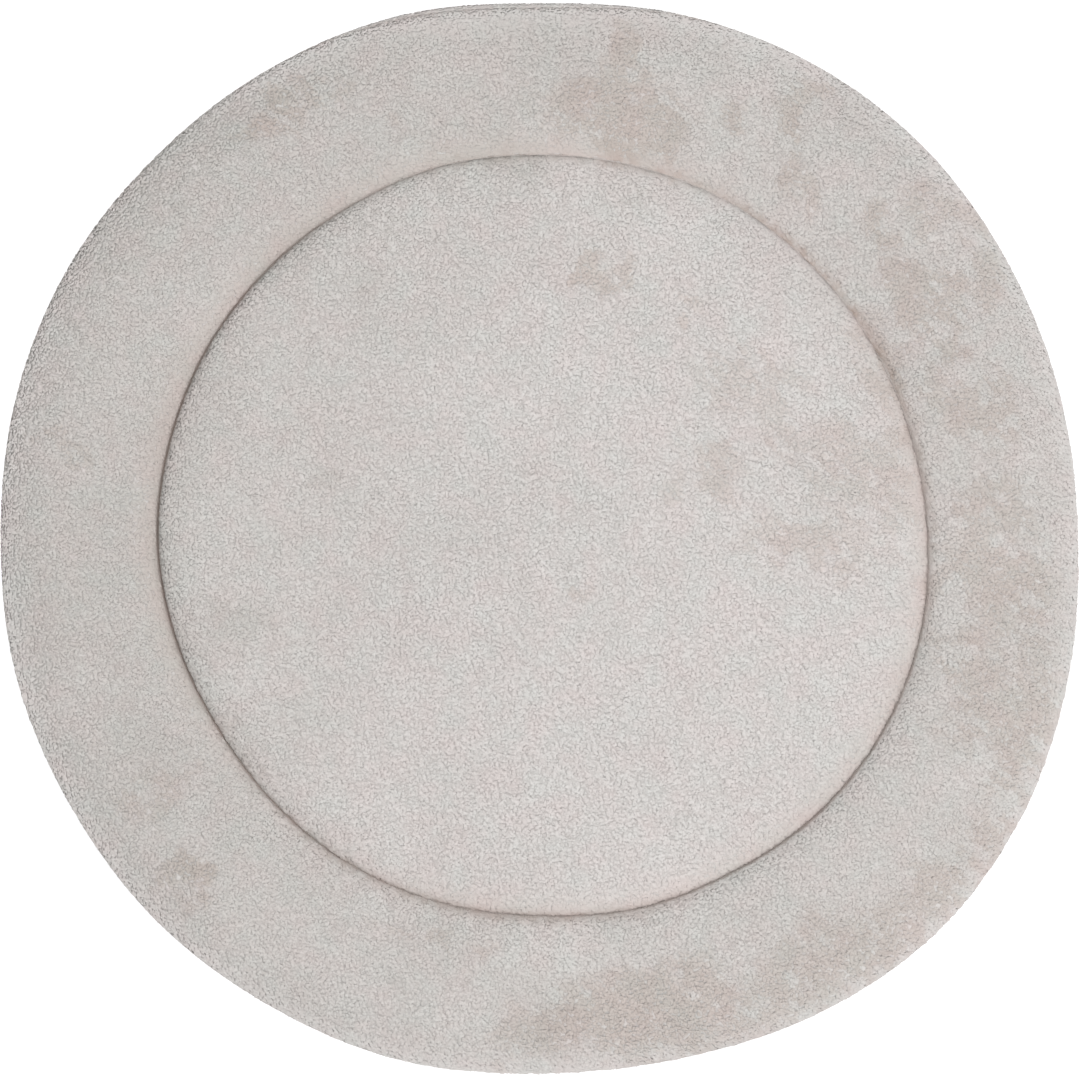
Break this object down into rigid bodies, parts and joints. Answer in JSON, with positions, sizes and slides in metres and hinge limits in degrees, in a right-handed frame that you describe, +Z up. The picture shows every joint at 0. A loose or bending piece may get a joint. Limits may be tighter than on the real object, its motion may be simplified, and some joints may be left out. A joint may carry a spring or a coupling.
{
  "type": "baby play mat",
  "caption": "Round padded baby play mat in short pale grey plush, with a crowned disc inside a crowned ring and a sewn channel between them.",
  "frame": {"origin": "bottom centre of the mat's box, on the floor it lies on", "axes": "+Z up, out of the mat's face, across its thickness; +X to the right and +Y to the top as the mat is seen from above in the picture"},
  "size_m": [0.9432, 0.9364, 0.0488],
  "materials": {
    "face_plush": "short brushed plush pile, matt, warm pale grey, nap combed one way",
    "underside_plush": "the same short plush pile, pressed flat on the floor, matt, warm pale grey"
  },
  "bodies": {
    "root": {"filled_face": "face_plush", "underside_panel": "underside_plush"}
  },
  "joints": []
}
